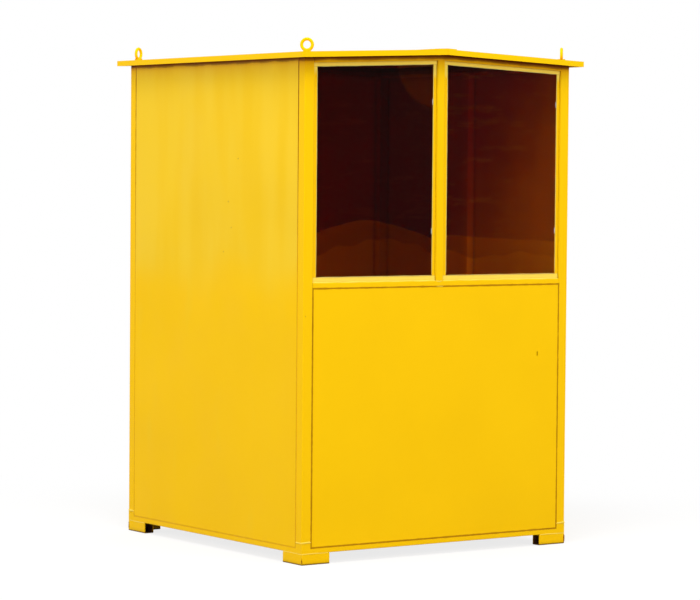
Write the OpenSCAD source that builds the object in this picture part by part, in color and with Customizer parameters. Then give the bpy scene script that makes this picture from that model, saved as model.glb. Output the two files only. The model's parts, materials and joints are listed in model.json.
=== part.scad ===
// One-person steel site cabin: a welded square-tube frame on four corner feet, flush steel
// sheets, two glazed panes at the front, a low gabled roof, four lifting eyes and a rear door.
// X runs left to right along the window front, Y from front to rear, Z up from the ground.

/* [Frame] */
// Width of the frame, left to right
cabin_w = 1500; // [1200:10:2000]
// Depth of the frame, front to rear
cabin_d = 1500; // [1200:10:2000]
// Side of the square tube
tube = 50; // [45:1:60]
// Wall of the square tube
tube_wall = 4; // [3:0.5:5]
// Radius of the tube's outer edges
tube_r = 4; // [2:0.5:6]
// Height of the sill rail's top above the ground
sill_h = 1255; // [700:5:1500]
// Width of the mullion between the panes
mullion_w = 40; // [30:1:60]
// Depth of the top rails under the roof sheet
top_rail_h = 46; // [40:1:60]
// Width of the studs and joists
stud_w = 50; // [40:1:60]
// Depth of the studs and joists
stud_d = 40; // [30:1:45]
// Distance between the two floor joists
joist_pitch = 480; // [300:10:700]

/* [Feet] */
// Height of the feet
foot_h = 50; // [45:1:80]
// Length of each leg of a foot
foot_leg = 150; // [100:5:300]

/* [Sheets] */
// Thickness of the wall sheets
sheet_t = 2; // [1:0.5:2]
// Lap of the wall sheets on the rails
sheet_lap = 25; // [10:1:30]
// Gap between a wall sheet and the frame beside it
sheet_gap = 1.5; // [0.5:0.5:3]
// Width of the small slot in the front sheet
slot_w = 5; // [3:0.5:8]
// Height of the slot
slot_h = 22; // [10:1:40]
// Distance of the slot from the right post
slot_in = 125; // [40:5:300]
// Height of the slot's middle above the ground
slot_z = 905; // [300:5:1000]
// Thickness of the floor plate
floor_t = 4; // [3:0.5:6]
// Gap round the floor plate
floor_gap = 0.5; // [0.2:0.1:2]

/* [Roof] */
// Height of the roof's top at its outer edge
eave_h = 2274; // [2100:1:2600]
// Run of the roof for each millimetre that it rises
roof_run = 24; // [10:1:40]
// Thickness of the roof sheets
roof_t = 3; // [2:0.5:5]
// Overhang of the roof past the frame
overhang = 48; // [45:1:100]
// Gap between the two roof sheets, and the two halves of an end rim, at the ridge
ridge_gap = 1; // [0.5:0.5:6]
// Height of the rim round the roof
rim_h = 25; // [20:1:40]
// Width of the rim's flange under the sheet
rim_w = 25; // [20:1:40]
// Thickness of the rim
rim_t = 3; // [2:0.5:4]
// Width of the ridge cap
cap_w = 100; // [60:5:200]
// Thickness of the ridge cap
cap_t = 4; // [2:0.5:6]

/* [Windows] */
// Width of the glazing beads at the jambs
bead_w = 20; // [15:1:30]
// Width of the bead on the sill
bead_bottom_w = 24; // [15:1:30]
// Width of the bead under the top rail
bead_top_w = 17; // [15:1:30]
// Depth of the beads, outside to inside
bead_d = 20; // [15:1:30]
// Thickness of the beads
bead_t = 3; // [2:0.5:4]
// Set-back of the beads from the frame's face
bead_setback = 8; // [2:0.5:12]
// Joint between one bead and the next
bead_joint = 0.5; // [0.3:0.1:1]
// Thickness of the panes
glass_t = 4; // [3:0.5:6]
// Play round a pane inside its beads
glass_play = 1; // [0.5:0.5:4]
// Height of a glazing clip
clip_h = 33; // [20:1:60]
// Reach of a clip over the pane, and along the bead
clip_w = 10; // [6:1:11]
// Thickness of a clip
clip_t = 2; // [1:0.5:3]
// Middle of the lower clips above the sill's top
clip_low = 226; // [60:2:300]
// Middle of the upper clips below the top rail
clip_high = 184; // [60:2:300]

/* [Door] */
// Clear width of the doorway
door_w = 800; // [600:10:900]
// Height of the doorway's top above the ground
door_top = 2100; // [1900:10:2110]
// Thickness of the door leaf
leaf_t = 40; // [30:1:45]
// Thickness of the leaf's folded sheet
leaf_sheet_t = 2; // [1:0.5:3]
// Width of the leaf's two cross bars
leaf_bar_w = 60; // [40:5:100]
// Gap round the leaf
leaf_gap = 3; // [2:0.5:6]
// Radius of a hinge knuckle
hinge_r = 8; // [6:0.5:10]
// Height of one hinge, both knuckles
hinge_h = 100; // [60:5:140]
// Ring gap between the two knuckles
hinge_slot = 1.5; // [1:0.5:3]
// Radius of the hinge pin
hinge_pin_r = 5; // [3:0.5:5]
// Reach of a hinge flag on each side of the axis
hinge_flag = 18; // [12:1:30]
// Thickness of a hinge flag
hinge_flag_t = 4; // [3:0.5:5]
// Distance of the outer hinges from the leaf's ends
hinge_in = 250; // [150:10:400]
// Width of the handle's back plate
plate_w = 40; // [30:1:60]
// Height of the handle's back plate
plate_h = 180; // [120:5:240]
// Thickness of the handle's back plate
plate_t = 4; // [2:0.5:6]
// Middle of the handle above the foot of the leaf
handle_h = 1000; // [850:10:1100]
// Distance of the handle from the leaf's edge
handle_in = 60; // [40:1:90]
// Radius of the lever
lever_r = 8; // [6:0.5:9]
// Length of the lever
lever_l = 120; // [80:5:150]
// Distance of the lever's axis from the door's face
lever_out = 36; // [28:1:36]

/* [Lifting eyes] */
// Distance of the eye's axis from both faces of the corner
eye_in = 27; // [25:1:30]
// Inner radius of the ring
eye_hole_r = 17.5; // [15:0.5:20]
// Radius of the ring's round section
eye_bar_r = 7; // [5:0.5:8]
// Width of the plain land inside the ring
eye_land = 5.6; // [2:0.2:6]
// Height of the ring's centre above its seat
eye_centre_h = 30.5; // [28:0.5:36]
// Radius of the collar
collar_r = 18; // [15:0.5:20]
// Height of the collar
collar_h = 8; // [5:0.5:10]
// Radius of the shank
shank_r = 8; // [6:0.5:10]
// Length of the shank below the seat
shank_l = 27; // [20:1:40]
// Play between the shank and its hole in the post
shank_play = 0.05; // [0.02:0.01:0.1]
// Play between the shank and the roof sheet
roof_hole_play = 1; // [0.5:0.5:3]
// Thickness of the plate that closes a post's top
post_cap_t = 12; // [10:1:20]

/* [Hidden] */
$fn = 48;
half_w = cabin_w / 2;
half_d = cabin_d / 2;
roof_half_w = half_w + overhang;
roof_half_d = half_d + overhang;
inner_w = half_w - tube;
inner_d = half_d - tube;
post_z = foot_h + tube;
sill_z = sill_h - tube;
side_rail_z = rail_under(half_w);
door_right = -inner_w + door_w;
leaf_z = post_z + leaf_gap;
leaf_h = door_top - leaf_gap - leaf_z;
leaf_w = door_w - 2 * leaf_gap;
hinge_x = -inner_w + leaf_gap / 2;
handle_x = door_right - leaf_gap - handle_in;
eye_x = half_w - eye_in;
eye_y = half_d - eye_in;
eye_seat = roof_top(eye_x - collar_r);
past = 1; // how far a cut runs past a face

yellow = [0.98, 0.79, 0.08];
pane_brown = [0.24, 0.05, 0.01, 0.8];
zinc = [0.72, 0.73, 0.74];
dark_grey = [0.2, 0.2, 0.21];
floor_grey = [0.45, 0.44, 0.43];

// Height of the roof's top above its outer edge, at x
function rise(x) = (roof_half_w - abs(x)) / roof_run;

// Height above the ground of the roof's top and underside, and of the top rails' underside
function roof_top(x) = eave_h + rise(x);
function roof_under(x) = roof_top(x) - roof_t;
function rail_under(x) = roof_under(x) - top_rail_h;

// Outlines that follow the roof, from "low" to "high" below its underside, with z measured
// from the roof's outer edge: the whole gable out to x = +-w, or its left side from -w to -gap
function gable(w, low, high) = concat(
    [for (x = [-w, 0, w]) [x, rise(x) - roof_t - low]],
    [for (x = [w, 0, -w]) [x, rise(x) - roof_t - high]]);
function left_slope(w, gap, low, high) = concat(
    [for (x = [-w, -gap]) [x, rise(x) - roof_t - low]],
    [for (x = [-gap, -w]) [x, rise(x) - roof_t - high]]);

// Outline of the left window opening drawn in by the given amounts, with z as above
function opening(side, bottom, top) = let (
    x0 = -inner_w + side, x1 = -mullion_w / 2 - side, z0 = sill_h - eave_h + bottom,
    drop = roof_t + top_rail_h + top)
    [[x0, z0], [x1, z0], [x1, rise(x1) - drop], [x0, rise(x0) - drop]];

// Drawing in X and Z made "depth" thick, from y towards the rear
module upright(y, depth)
    translate([0, y + depth, 0]) rotate([90, 0, 0]) linear_extrude(depth) children();

// The same, with z measured from the roof's outer edge
module roof_upright(y, depth) translate([0, 0, eave_h]) upright(y, depth) children();

module at_corner(right, rear)
    mirror([right ? 1 : 0, 0, 0]) mirror([0, rear ? 1 : 0, 0]) children();

module rounded_rect(w, h, r) {
    translate([r, 0]) square([w - 2 * r, h]);
    translate([0, r]) square([w, h - 2 * r]);
    for (x = [r, w - r], y = [r, h - r]) translate([x, y]) circle(r);
}

// Hollow tube along +Z from the origin
module tube_z(w, d, length)
    linear_extrude(length) difference() {
        rounded_rect(w, d, tube_r);
        translate([tube_wall, tube_wall]) square([w - 2 * tube_wall, d - 2 * tube_wall]);
    }

// Hollow tube along +X: y goes to the rear, z up
module tube_x(d, h, length) rotate([90, 0, 90]) tube_z(d, h, length);

// Hollow tube along +Y: x goes to the right, z up
module tube_y(w, h, length) translate([0, length, 0]) rotate([90, 0, 0]) tube_z(w, h, length);

// Everything more than "drop" below the roof sheet is kept of the children
module under_roof(drop = 0)
    difference() {
        children();
        roof_upright(-roof_half_d, 2 * roof_half_d) polygon(gable(roof_half_w, drop, -tube));
    }

// Feet: two legs of square tube, mitred at the corner and open at their ends
module foot_leg_x()
    intersection() {
        translate([-half_w, -half_d, 0]) tube_x(tube, foot_h, foot_leg);
        translate([-half_w, -half_d, 0]) linear_extrude(foot_h)
            polygon([[0, 0], [foot_leg, 0], [foot_leg, foot_leg]]);
    }

module foot_leg_y()
    intersection() {
        translate([-half_w, -half_d, 0]) tube_y(tube, foot_h, foot_leg);
        translate([-half_w, -half_d, 0]) linear_extrude(foot_h)
            polygon([[0, 0], [foot_leg, foot_leg], [0, foot_leg]]);
    }

module foot(right, rear) at_corner(right, rear) union() { foot_leg_x(); foot_leg_y(); }
module foot_front_left() color(yellow) foot(false, false);
module foot_front_right() color(yellow) foot(true, false);
module foot_rear_left() color(yellow) foot(false, true);
module foot_rear_right() color(yellow) foot(true, true);

// Base rails: mitred at the corners, with a rebate where a sheet laps from x0 to x1
module base_rail_x(x0, x1)
    difference() {
        intersection() {
            translate([-half_w, -half_d, foot_h]) tube_x(tube, tube, cabin_w);
            translate([0, -half_d, foot_h]) linear_extrude(tube)
                polygon([[-half_w, 0], [half_w, 0], [inner_w, tube], [-inner_w, tube]]);
        }
        translate([x0, -half_d - past, foot_h + sheet_lap])
            cube([x1 - x0, past + sheet_t, tube]);
    }

module base_rail_y()
    difference() {
        intersection() {
            translate([-half_w, -half_d, foot_h]) tube_y(tube, tube, cabin_d);
            translate([-half_w, 0, foot_h]) linear_extrude(tube)
                polygon([[0, -half_d], [tube, -inner_d], [tube, inner_d], [0, half_d]]);
        }
        translate([-half_w - past, -inner_d, foot_h + sheet_lap])
            cube([past + sheet_t, 2 * inner_d, tube]);
    }

module base_rail_front() color(yellow) base_rail_x(-inner_w, inner_w);
module base_rail_rear()
    color(yellow) mirror([0, 1, 0]) base_rail_x(door_right + tube, inner_w);
module base_rail_left() color(yellow) base_rail_y();
module base_rail_right() color(yellow) mirror([1, 0, 0]) base_rail_y();

// Posts: cut to the roof's slope and closed by a plate that the eye's shank screws into
module post()
    under_roof() difference() {
        translate([-half_w, -half_d, post_z]) linear_extrude(roof_top(inner_w) - post_z)
            rounded_rect(tube, tube, tube_r);
        translate([-half_w + tube_wall, -half_d + tube_wall, post_z - past])
            cube([tube - 2 * tube_wall, tube - 2 * tube_wall,
                  roof_under(half_w) - post_cap_t - post_z + past]);
        translate([-eye_x, -eye_y, post_z]) cylinder(h = eave_h, r = shank_r + shank_play);
    }

module post_front_left() color(yellow) at_corner(false, false) post();
module post_front_right() color(yellow) at_corner(true, false) post();
module post_rear_left() color(yellow) at_corner(false, true) post();
module post_rear_right() color(yellow) at_corner(true, true) post();

// Studs behind the middle of the left, right and front sheets
module side_stud()
    translate([-half_w + sheet_t, -stud_w / 2, post_z])
        tube_z(stud_d, stud_w, side_rail_z - post_z);

module wall_studs()
    color(yellow) {
        side_stud();
        mirror([1, 0, 0]) side_stud();
        translate([-stud_w / 2, -half_d + sheet_t, post_z])
            tube_z(stud_w, stud_d, sill_z - post_z);
    }

module door_post()
    color(yellow) under_roof(top_rail_h)
        translate([door_right, inner_d, post_z])
            tube_z(tube, tube, rail_under(0) - post_z);

// Header over the doorway, with a rebate for the sheet above it
module door_header()
    color(yellow) difference() {
        translate([-inner_w, inner_d, door_top]) tube_x(tube, tube, door_w);
        translate([-half_w, half_d - sheet_t, door_top + tube - sheet_lap])
            cube([cabin_w, sheet_t + past, tube]);
    }

module mullion()
    color(yellow) under_roof(top_rail_h)
        translate([-mullion_w / 2, -half_d, sill_h])
            tube_z(mullion_w, tube, rail_under(0) - sill_h);

// Sill rail, with a rebate for the sheet below it
module sill_rail()
    color(yellow) difference() {
        translate([-inner_w, -half_d, sill_z]) tube_x(tube, tube, 2 * inner_w);
        translate([-half_w, -half_d - past, sill_z - past])
            cube([cabin_w, past + sheet_t, past + sheet_lap]);
    }

// Top rails at the front and rear follow the roof's slope
module gable_rail()
    difference() {
        roof_upright(-half_d, tube) polygon(gable(inner_w, top_rail_h, 0));
        roof_upright(-half_d + tube_wall, tube - 2 * tube_wall)
            polygon(gable(inner_w + past, top_rail_h - tube_wall, tube_wall));
    }

module top_rail_front() color(yellow) gable_rail();
module top_rail_rear()
    color(yellow) mirror([0, 1, 0]) difference() {
        gable_rail();
        roof_upright(-half_d - past, past + sheet_t)
            polygon(gable(inner_w + past, top_rail_h + past, top_rail_h - sheet_lap));
    }

module side_rail()
    difference() {
        under_roof() translate([-half_w, -inner_d, side_rail_z])
            cube([tube, 2 * inner_d, 2 * top_rail_h]);
        translate([-half_w + sheet_t + tube_wall, -inner_d - past, side_rail_z + tube_wall])
            cube([tube - sheet_t - 2 * tube_wall, 2 * (inner_d + past),
                  top_rail_h - 2 * tube_wall]);
        translate([-half_w - past, -inner_d - past, side_rail_z - past])
            cube([past + sheet_t, 2 * (inner_d + past), past + sheet_lap]);
    }

module top_rail_left() color(yellow) side_rail();
module top_rail_right() color(yellow) mirror([1, 0, 0]) side_rail();

module ridge_beam()
    color(yellow) under_roof() difference() {
        translate([-stud_w / 2, -inner_d, roof_under(0) - tube])
            cube([stud_w, 2 * inner_d, tube]);
        translate([-stud_w / 2 + tube_wall, -inner_d - past, roof_under(0) - tube + tube_wall])
            cube([stud_w - 2 * tube_wall, 2 * (inner_d + past), tube - 3 * tube_wall]);
    }

module floor_joists()
    color(yellow)
        for (y = [-joist_pitch / 2, joist_pitch / 2])
            translate([-inner_w, y - stud_w / 2, post_z - floor_t - stud_d])
                tube_x(stud_w, stud_d, 2 * inner_w);

module floor_plate()
    color(floor_grey)
        translate([-inner_w + floor_gap, -inner_d + floor_gap, post_z - floor_t])
            cube([2 * (inner_w - floor_gap), 2 * (inner_d - floor_gap), floor_t]);

// Wall sheets lie flush in the rebates of the rails; the front one has a small upright slot
module sheet_front()
    color(yellow) difference() {
        translate([-inner_w + sheet_gap, -half_d, foot_h + sheet_lap + sheet_gap])
            cube([2 * (inner_w - sheet_gap), sheet_t,
                  sill_z - foot_h - 2 * sheet_gap]);
        upright(-half_d - past, sheet_t + 2 * past)
            translate([inner_w - slot_in - slot_w / 2, slot_z - slot_h / 2])
                rounded_rect(slot_w, slot_h, slot_w / 2 - 0.01);
    }

module side_sheet()
    translate([-half_w, -inner_d + sheet_gap, foot_h + sheet_lap + sheet_gap])
        cube([sheet_t, 2 * (inner_d - sheet_gap),
              side_rail_z - foot_h - 2 * sheet_gap]);

module sheet_left() color(yellow) side_sheet();
module sheet_right() color(yellow) mirror([1, 0, 0]) side_sheet();

// Rear sheet from z up to the top rail, between x0 and x1
module rear_sheet_piece(x0, x1, z)
    under_roof(top_rail_h - sheet_lap + sheet_gap)
        translate([x0 + sheet_gap, half_d - sheet_t, z + sheet_gap])
            cube([x1 - x0 - 2 * sheet_gap, sheet_t, eave_h - z]);

module sheet_rear()
    color(yellow) {
        rear_sheet_piece(door_right + tube, inner_w, foot_h + sheet_lap);
        rear_sheet_piece(-inner_w, door_right, door_top + tube - sheet_lap);
    }

// Four angle bars round one opening, parted by a joint above the sill bar and under the top
module beads()
    difference() {
        union() {
            roof_upright(-half_d + bead_setback, bead_t) difference() {
                polygon(opening(0, 0, 0));
                polygon(opening(bead_w, bead_bottom_w, bead_top_w));
            }
            roof_upright(-half_d + bead_setback, bead_d) difference() {
                polygon(opening(0, 0, 0));
                polygon(opening(bead_t, bead_t, bead_t));
            }
        }
        roof_upright(-half_d, tube) difference() {
            polygon(opening(-past, bead_bottom_w, bead_top_w));
            polygon(opening(-2 * past, bead_bottom_w + bead_joint, bead_top_w + bead_joint));
        }
    }

module window_beads_left() color(yellow) beads();
module window_beads_right() color(yellow) mirror([1, 0, 0]) beads();

module pane()
    roof_upright(-half_d + bead_setback + bead_t, glass_t)
        polygon(opening(bead_t + glass_play, bead_t + glass_play, bead_t + glass_play));

module window_glass_left() color(pane_brown) pane();
module window_glass_right() color(pane_brown) mirror([1, 0, 0]) pane();

// Clip behind the pane's right edge, with x at the bead's inner side and z at its middle
module clip(x, z)
    translate([x, -half_d + bead_setback + bead_t + glass_t, z - clip_h / 2])
        linear_extrude(clip_h) polygon([
            [0, 0], [-clip_w, 0], [-clip_w, clip_t], [-clip_t, clip_t],
            [-clip_t, clip_w], [0, clip_w]]);

module right_edge_clips(x) {
    clip(x, sill_h + clip_low);
    clip(x, rail_under(abs(x)) - clip_high);
}

module glazing_clips()
    color(zinc)
        for (flip = [0, 1]) mirror([flip, 0, 0]) {
            right_edge_clips(-mullion_w / 2 - bead_t);
            mirror([1, 0, 0]) right_edge_clips(inner_w - bead_t);
        }

// Roof: two sheets on the rails, an angle rim round them and a cap over the ridge
module roof_sheet()
    difference() {
        roof_upright(-roof_half_d + rim_t, 2 * (roof_half_d - rim_t))
            polygon(left_slope(roof_half_w - rim_t, ridge_gap / 2, 0, -roof_t));
        for (y = [-eye_y, eye_y])
            translate([-eye_x, y, eave_h - roof_t - past])
                cylinder(h = rise(0) + roof_t + 2 * past, r = shank_r + roof_hole_play);
    }

module roof_sheet_left() color(yellow) roof_sheet();
module roof_sheet_right() color(yellow) mirror([1, 0, 0]) roof_sheet();

module side_rim() {
    roof_upright(-roof_half_d + rim_t, 2 * (roof_half_d - rim_t)) difference() {
        polygon(left_slope(roof_half_w, roof_half_w - rim_w, rim_h - roof_t, -roof_t));
        polygon(left_slope(roof_half_w - rim_t, 0, rim_h, rim_t));
        polygon(left_slope(roof_half_w - rim_t, 0, 0, -rim_h));
    }
}

// Half of an end rim, from the left corner to the ridge
module end_rim_half() {
    roof_upright(-roof_half_d, rim_t)
        polygon(left_slope(roof_half_w, ridge_gap / 2, rim_h - roof_t, -roof_t));
    roof_upright(-roof_half_d, rim_w)
        polygon(left_slope(roof_half_w - rim_w, ridge_gap / 2, rim_t, 0));
}

module roof_rims_side() color(yellow) { side_rim(); mirror([1, 0, 0]) side_rim(); }
module roof_rims_end()
    color(yellow) for (right = [false, true], rear = [false, true])
        at_corner(right, rear) end_rim_half();

module ridge_cap()
    color(yellow) roof_upright(-roof_half_d, 2 * roof_half_d)
        polygon(gable(cap_w / 2, -roof_t, -roof_t - cap_t));

// Lifting eye: ring in the plane through Z that stands at "turn" to X, on a collar whose
// underside is cut to the roof's slope, with a shank down into the post
module eye_ring()
    rotate([90, 0, 0]) rotate_extrude() union() {
        translate([eye_hole_r + eye_bar_r, 0]) circle(eye_bar_r);
        translate([eye_hole_r, -eye_land / 2]) square([eye_bar_r, eye_land]);
    }

module eye(right, rear, turn)
    union() {
        difference() {
            translate([right ? eye_x : -eye_x, rear ? eye_y : -eye_y, eye_seat]) {
                translate([0, 0, eye_centre_h]) rotate([0, 0, turn]) eye_ring();
                translate([0, 0, -roof_t]) cylinder(h = roof_t + collar_h, r = collar_r);
            }
            roof_upright(-roof_half_d, 2 * roof_half_d)
                polygon(gable(roof_half_w, tube, -roof_t));
        }
        translate([right ? eye_x : -eye_x, rear ? eye_y : -eye_y, eye_seat - shank_l])
            cylinder(h = shank_l + collar_h / 2, r = shank_r);
    }

module lifting_eye_front_left() color(yellow) eye(false, false, -45);
module lifting_eye_front_right() color(yellow) eye(true, false, 50);
module lifting_eye_rear_left() color(yellow) eye(false, true, 30);
module lifting_eye_rear_right() color(yellow) eye(true, true, -20);

// Door leaf: a folded tray, open to the inside, with two cross bars
module door_leaf()
    color(yellow) translate([-inner_w + leaf_gap, half_d - leaf_t, leaf_z]) {
        difference() {
            cube([leaf_w, leaf_t, leaf_h]);
            translate([leaf_sheet_t, -past, leaf_sheet_t])
                cube([leaf_w - 2 * leaf_sheet_t, leaf_t - leaf_sheet_t + past,
                      leaf_h - 2 * leaf_sheet_t]);
        }
        for (z = [leaf_h / 3, 2 * leaf_h / 3])
            translate([0, leaf_t / 2, z - leaf_bar_w / 2])
                cube([leaf_w, leaf_t / 2, leaf_bar_w]);
    }

// Hinge: lower knuckle with its flag on the post, upper knuckle with its flag on the leaf
module hinge(z)
    translate([hinge_x, half_d, z - hinge_h / 2]) {
        translate([0, hinge_r, 0]) cylinder(h = (hinge_h - hinge_slot) / 2, r = hinge_r);
        translate([0, hinge_r, (hinge_h + hinge_slot) / 2])
            cylinder(h = (hinge_h - hinge_slot) / 2, r = hinge_r);
        translate([0, hinge_r, 0]) cylinder(h = hinge_h, r = hinge_pin_r);
        translate([-hinge_flag, 0, 0])
            cube([hinge_flag, hinge_flag_t, (hinge_h - hinge_slot) / 2]);
        translate([0, 0, (hinge_h + hinge_slot) / 2])
            cube([hinge_flag, hinge_flag_t, (hinge_h - hinge_slot) / 2]);
    }

module door_hinges()
    color(zinc)
        for (z = [leaf_z + hinge_in, leaf_z + leaf_h / 2, leaf_z + leaf_h - hinge_in])
            hinge(z);

module door_handle()
    color(dark_grey) translate([handle_x, half_d, leaf_z + handle_h]) {
        translate([-plate_w / 2, 0, -plate_h * 2 / 3]) cube([plate_w, plate_t, plate_h]);
        rotate([-90, 0, 0]) cylinder(h = lever_out, r = lever_r);
        translate([0, lever_out, 0]) sphere(lever_r);
        translate([0, lever_out, 0]) rotate([0, -90, 0]) cylinder(h = lever_l, r = lever_r);
    }

foot_front_left();
foot_front_right();
foot_rear_left();
foot_rear_right();
base_rail_front();
base_rail_rear();
base_rail_left();
base_rail_right();
post_front_left();
post_front_right();
post_rear_left();
post_rear_right();
wall_studs();
door_post();
door_header();
mullion();
sill_rail();
top_rail_front();
top_rail_rear();
top_rail_left();
top_rail_right();
ridge_beam();
floor_joists();
floor_plate();
sheet_front();
sheet_left();
sheet_right();
sheet_rear();
window_beads_left();
window_beads_right();
window_glass_left();
window_glass_right();
glazing_clips();
roof_sheet_left();
roof_sheet_right();
roof_rims_side();
roof_rims_end();
ridge_cap();
lifting_eye_front_left();
lifting_eye_front_right();
lifting_eye_rear_left();
lifting_eye_rear_right();
door_leaf();
door_hinges();
door_handle();
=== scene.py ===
"""Looks of a small steel site cabin: paint, panes, weld beads, seals and the stage it stands on."""
import json
import math

import bmesh
import bpy
from mathutils import Matrix, Vector


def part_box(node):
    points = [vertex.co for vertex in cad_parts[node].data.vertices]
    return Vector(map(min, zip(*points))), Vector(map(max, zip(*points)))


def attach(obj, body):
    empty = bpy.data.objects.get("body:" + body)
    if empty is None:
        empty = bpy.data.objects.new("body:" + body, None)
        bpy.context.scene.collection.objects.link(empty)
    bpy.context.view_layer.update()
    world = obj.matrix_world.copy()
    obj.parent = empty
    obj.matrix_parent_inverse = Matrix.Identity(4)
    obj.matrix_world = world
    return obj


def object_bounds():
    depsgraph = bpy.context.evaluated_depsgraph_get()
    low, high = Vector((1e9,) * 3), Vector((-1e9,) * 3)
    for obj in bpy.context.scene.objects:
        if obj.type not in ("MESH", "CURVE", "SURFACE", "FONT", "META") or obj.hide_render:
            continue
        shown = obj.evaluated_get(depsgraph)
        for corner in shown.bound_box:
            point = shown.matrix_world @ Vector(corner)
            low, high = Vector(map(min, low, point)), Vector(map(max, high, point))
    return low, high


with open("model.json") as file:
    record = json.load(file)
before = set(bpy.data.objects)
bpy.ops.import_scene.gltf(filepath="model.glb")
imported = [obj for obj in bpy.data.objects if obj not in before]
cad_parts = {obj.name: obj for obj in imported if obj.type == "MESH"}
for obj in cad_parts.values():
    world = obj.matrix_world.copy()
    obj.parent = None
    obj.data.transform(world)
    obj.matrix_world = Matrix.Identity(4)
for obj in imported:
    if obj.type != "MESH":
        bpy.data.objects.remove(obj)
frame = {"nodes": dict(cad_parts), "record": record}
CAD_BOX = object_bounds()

bl_info = {
    "name": "Steel Site Cabin",
    "version": (1, 0, 0),
    "blender": (4, 5, 0),
    "location": "View3D > Sidebar > Cabin",
    "description": "Finishes a welded steel site cabin and sets its stage",
    "category": "Object",
}

LOW = Vector(CAD_BOX[0])
HIGH = Vector(CAD_BOX[1])
BODY = "root"
MM = 0.001


# ---------------------------------------------------------------- sizes and colours

class CabinPaint(bpy.types.PropertyGroup):
    """Colours of the cabin's finishes"""
    yellow: bpy.props.FloatVectorProperty(
        name="Yellow", description="Fresh colour of the paint", subtype="COLOR",
        size=3, min=0, max=1, default=(0.960, 0.575, 0.002))
    # Painted sheen: the paler yellow that the sheets turn higher up.
    sheen_yellow: bpy.props.FloatVectorProperty(
        name="Faded yellow", description="Paint where the sun has paled it", subtype="COLOR",
        size=3, min=0, max=1, default=(0.915, 0.598, 0.024))
    # Painted shade: colour mixed in where ambient occlusion finds grooves and edges, and, darker still, at the
    # feet's soles.
    occlusion_shade: bpy.props.FloatVectorProperty(
        name="Grime", description="Dirt that gathers in grooves and under edges", subtype="COLOR",
        size=3, min=0, max=1, default=(0.19, 0.075, 0.004))
    pane_left: bpy.props.FloatVectorProperty(
        name="Left pane", description="Tint of the left pane's upper part", subtype="COLOR",
        size=3, min=0, max=1, default=(0.20, 0.003, 0.002))
    # Painted reflection: the lighter tint of the left pane below its wavy edge.
    pane_left_reflection: bpy.props.FloatVectorProperty(
        name="Left pane, low", description="Tint of the left pane where its film is thinner",
        subtype="COLOR", size=3, min=0, max=1, default=(0.60, 0.29, 0.006))
    pane_right: bpy.props.FloatVectorProperty(
        name="Right pane", description="Tint of the right pane's upper part", subtype="COLOR",
        size=3, min=0, max=1, default=(0.36, 0.026, 0.002))
    # Painted reflection: the lighter tint of the right pane below its wavy edge, also used for its painted
    # glow.
    pane_right_reflection: bpy.props.FloatVectorProperty(
        name="Right pane, low", description="Tint of the right pane where its film is thinner",
        subtype="COLOR", size=3, min=0, max=1, default=(0.97, 0.62, 0.010))
    # Painted highlight: this paler yellow, on the weld beads and on the glazing beads' lips, stands for light
    # caught on them.
    highlight_yellow: bpy.props.FloatVectorProperty(
        name="Painted weld", description="Paint over the weld beads, thin and pale on the ripples",
        subtype="COLOR", size=3, min=0, max=1, default=(0.990, 0.730, 0.095))
    joint_dirt: bpy.props.FloatVectorProperty(
        name="Joint dirt", description="Brown line where a sheet meets the frame",
        subtype="COLOR", size=3, min=0, max=1, default=(0.42, 0.175, 0.001))
    # Painted shade: the thin dark line close under the roof's rim.
    eave_shade: bpy.props.FloatVectorProperty(
        name="Eave dirt", description="Red-brown line close under the roof's rim",
        subtype="COLOR", size=3, min=0, max=1, default=(0.115, 0.011, 0.0005))
    seal: bpy.props.FloatVectorProperty(
        name="Seal", description="Colour of the sealing line round the panes",
        subtype="COLOR", size=3, min=0, max=1, default=(0.86, 0.66, 0.16))
    zinc: bpy.props.FloatVectorProperty(
        name="Zinc", description="Colour of the zinc-plated clips and hinges",
        subtype="COLOR", size=3, min=0, max=1, default=(0.62, 0.63, 0.64))


class CabinSizes(bpy.types.PropertyGroup):
    """Sizes of what the finish adds"""
    weld: bpy.props.FloatProperty(
        name="Weld bead", description="Radius of the weld beads at the posts' feet",
        default=4.8 * MM, min=0, unit="LENGTH")
    sill_weld: bpy.props.FloatProperty(
        name="Sill weld", description="Radius of the weld along the sill",
        default=3.0 * MM, min=0, unit="LENGTH")
    edge: bpy.props.FloatProperty(
        name="Edge rounding", description="Rounding of cut steel edges",
        default=0.8 * MM, min=0, unit="LENGTH")
    stage_reach: bpy.props.FloatProperty(
        name="Stage reach", description="Distance that the floor runs out from the cabin",
        default=40.0, min=5, unit="LENGTH")


# ---------------------------------------------------------------- shader helpers

def group_node(tree, group, **values):
    """Place a node group in a material, with its own values."""
    node = tree.nodes.new("ShaderNodeGroup")
    node.node_tree = group
    for name, value in values.items():
        node.inputs[name.replace("_", " ")].default_value = value
    return node


def new_group(name, inputs, outputs):
    """Empty shader node group with named sockets; inputs are (name, type, default)."""
    group = bpy.data.node_groups.new(name, "ShaderNodeTree")
    for label, kind, value in inputs:
        socket = group.interface.new_socket(label, in_out="INPUT", socket_type=kind)
        socket.default_value = value
    for label, kind in outputs:
        group.interface.new_socket(label, in_out="OUTPUT", socket_type=kind)
    return group, group.nodes.new("NodeGroupInput"), group.nodes.new("NodeGroupOutput")


def noise(tree, source, scale, detail=2.0, rough=0.5, stretch=(1, 1, 1)):
    """Noise over object coordinates, stretched along the axes."""
    mapping = tree.nodes.new("ShaderNodeMapping")
    mapping.inputs["Scale"].default_value = stretch
    tree.links.new(source, mapping.inputs["Vector"])
    node = tree.nodes.new("ShaderNodeTexNoise")
    node.inputs["Scale"].default_value = scale
    node.inputs["Detail"].default_value = detail
    node.inputs["Roughness"].default_value = rough
    tree.links.new(mapping.outputs["Vector"], node.inputs["Vector"])
    return node.outputs["Fac"]


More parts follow.
